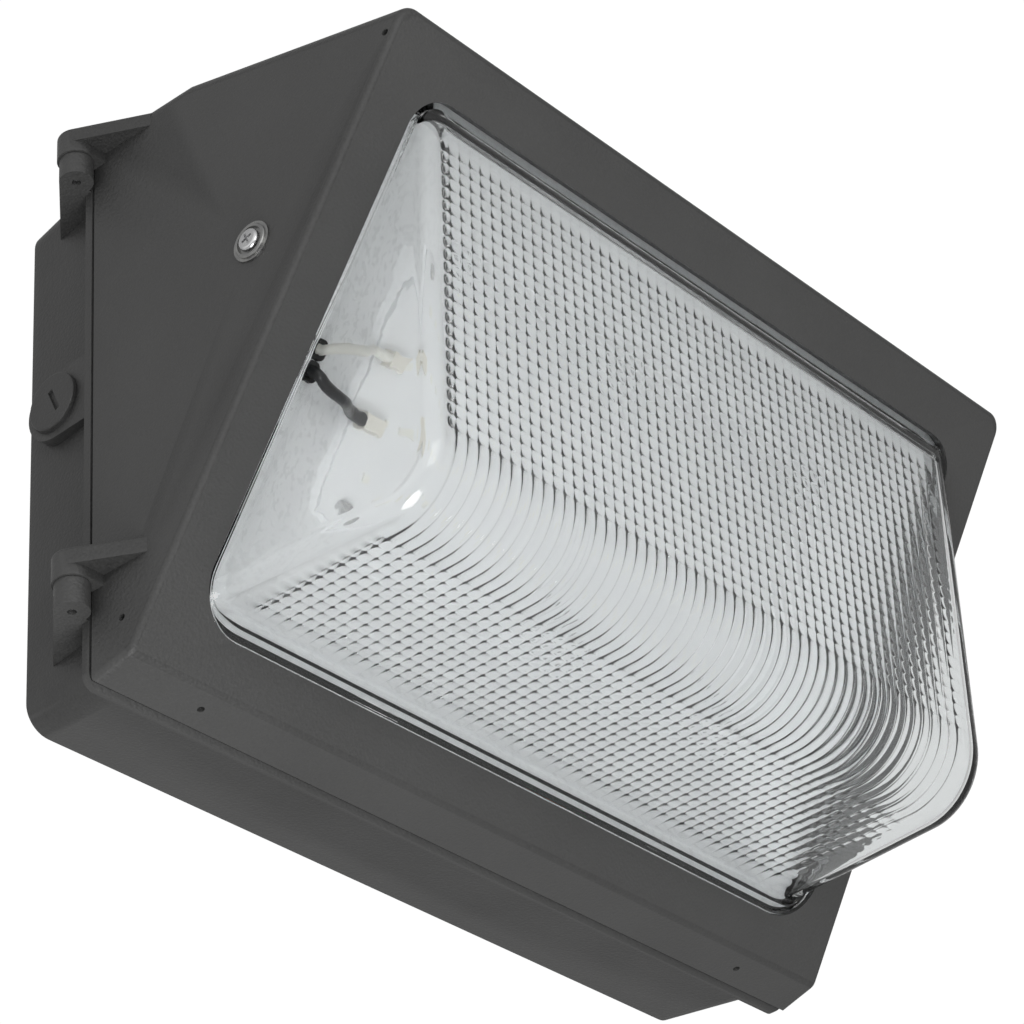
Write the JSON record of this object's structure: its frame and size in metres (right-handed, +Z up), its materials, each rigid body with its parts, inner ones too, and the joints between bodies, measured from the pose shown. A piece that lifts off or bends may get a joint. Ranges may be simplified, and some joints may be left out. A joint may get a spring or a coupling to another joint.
{
  "type": "wall pack light",
  "caption": "Outdoor wall pack light: wedge-shaped cast door with a prismatic glass, hinged on a shallow rear housing that screws to a wall.",
  "frame": {"origin": "centre of the rear mounting face, in the wall plane", "axes": "+X to the right seen from the front, +Y into the wall, +Z up"},
  "size_m": [0.3862, 0.1907, 0.2312],
  "materials": {
    "casting": "die-cast, fine-textured dark bronze powder coat",
    "plug": "cast, dark bronze powder coat, screwdriver slot",
    "gasket": "silicone sponge, matt",
    "glass_gasket": "silicone, grey",
    "seal": "flat rubber washer",
    "glass": "pressed borosilicate glass, prismatic inside",
    "reflector": "white gloss enamel on sheet steel",
    "board": "white solder mask",
    "led": "cream phosphor",
    "spreader": "bare milled aluminium",
    "zinc_steel": "zinc-plated steel",
    "stainless": "bright stainless steel",
    "driver_case": "dark anodised case",
    "lead_white": "PVC insulation",
    "lead_black": "PVC insulation",
    "lead_green": "PVC insulation",
    "connector": "nylon, natural",
    "wire_nut": "moulded plastic",
    "grommet": "black rubber",
    "green_screw": "green ground screw"
  },
  "bodies": {
    "housing": {"rear_housing": "casting", "door_gasket": "gasket", "conduit_plug_left": "plug", "conduit_plug_right": "plug", "plug_seals": "seal", "led_driver": "driver_case", "driver_plate": "zinc_steel", "driver_plate_screws": "zinc_steel", "driver_lead_white": "lead_white", "driver_lead_black": "lead_black", "connector_socket": "connector", "supply_lead_black": "lead_black", "supply_lead_white": "lead_white", "wire_connectors": "wire_nut", "ground_screw": "green_screw", "ground_lead": "lead_green"},
    "door": {"door_frame": "casting", "glass_refractor": "glass", "glass_gasket": "glass_gasket", "glass_clips": "zinc_steel", "glass_clip_screws": "zinc_steel", "reflector_tray": "reflector", "led_board_left": "board", "led_board_right": "board", "led_chips": "led", "board_terminals": "connector", "board_screws": "zinc_steel", "heat_spreader": "spreader", "tray_bracket_left": "zinc_steel", "tray_bracket_right": "zinc_steel", "side_screw_left": "stainless", "side_screw_right": "stainless", "cup_washer_left": "stainless", "cup_washer_right": "stainless", "bracket_nuts": "zinc_steel", "lead_grommets": "grommet", "led_lead_white": "lead_white", "led_lead_black": "lead_black", "connector_plug": "connector", "hinge_pin_upper": "stainless", "hinge_pin_lower": "stainless"},
    "screw_upper": {"closing_screw_upper": "stainless", "retaining_ring_upper": "stainless"},
    "screw_lower": {"closing_screw_lower": "stainless", "retaining_ring_lower": "stainless"}
  },
  "joints": [
    {"name": "door_hinge", "type": "hinge", "parent": "housing", "child": "door", "pos_m": [-0.1873, -0.0436, 0], "axis": [0, 0, -1], "range_deg": [0, 105]},
    {"name": "closing_screw_upper_travel", "type": "slide", "parent": "door", "child": "screw_upper", "axis": [0, -1, 0], "range_m": [0, 0.0075]},
    {"name": "closing_screw_lower_travel", "type": "slide", "parent": "door", "child": "screw_lower", "axis": [0, -1, 0], "range_m": [0, 0.0075]}
  ]
}
